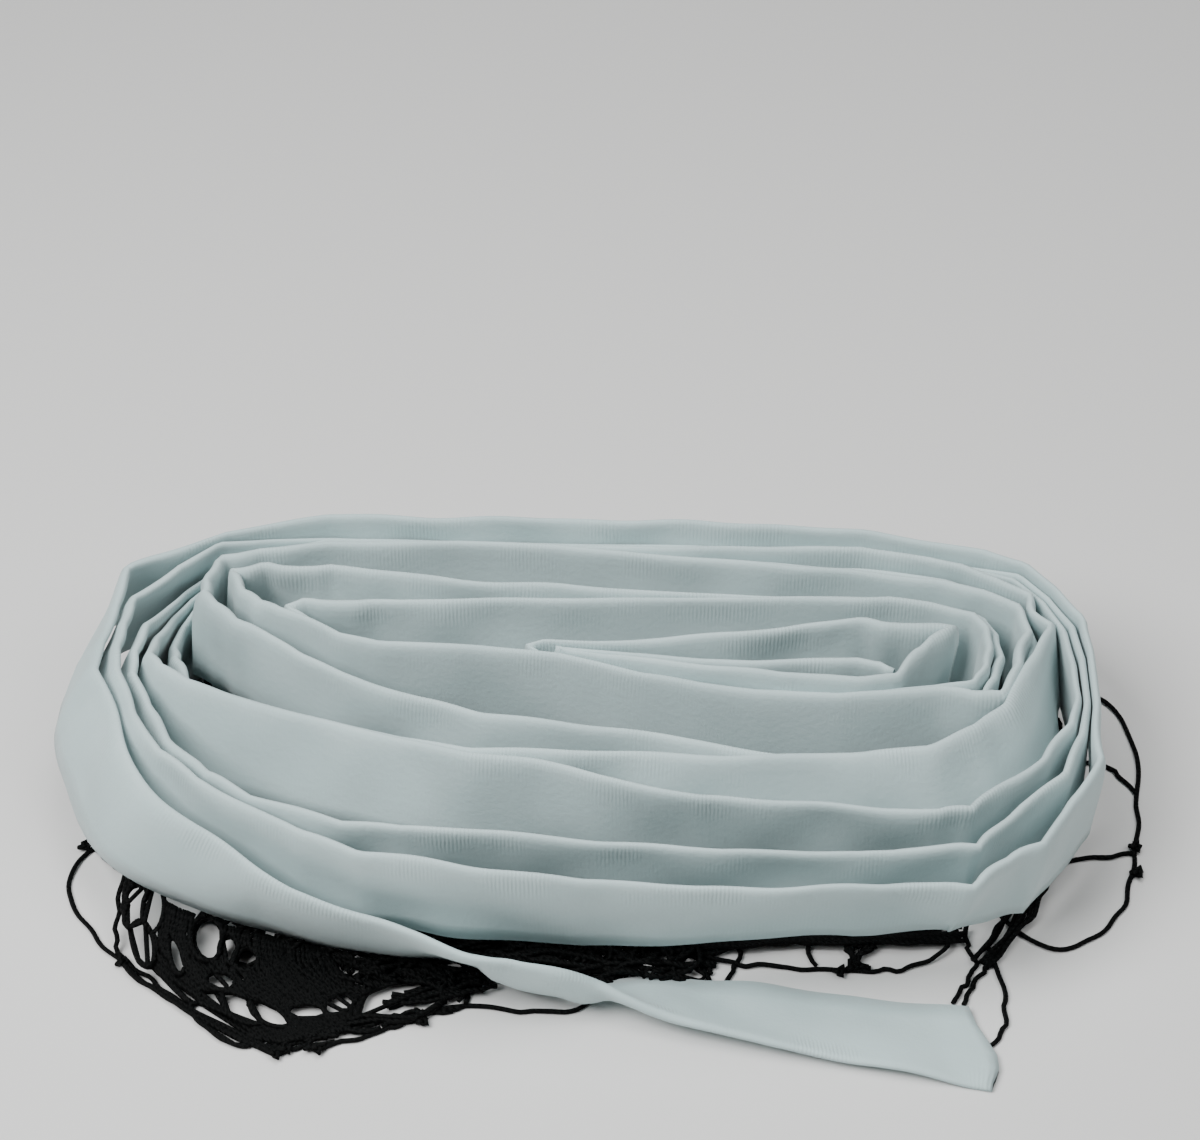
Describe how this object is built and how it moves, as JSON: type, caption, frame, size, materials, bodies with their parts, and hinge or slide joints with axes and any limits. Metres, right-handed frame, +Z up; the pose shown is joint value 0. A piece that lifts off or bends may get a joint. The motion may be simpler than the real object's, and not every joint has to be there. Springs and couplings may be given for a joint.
{
  "type": "rolled volleyball net",
  "caption": "Volleyball net rolled up for storage: a white cloth headband wound edge-on into a flat oval coil, one end let out in front, over the bunched black twine net.",
  "frame": {"origin": "on the floor, under the middle of the rolled net's box", "axes": "+X along the coil to the side of the headband's cut end, +Y to the back of the coil away from the loose end, +Z up"},
  "size_m": [0.5496, 0.324, 0.0826],
  "materials": {
    "headband_cloth": "matte white woven cloth, doubled and pressed",
    "net_twine": "black twisted twine"
  },
  "bodies": {
    "root": {"headband": "headband_cloth", "net": "net_twine"}
  },
  "joints": []
}
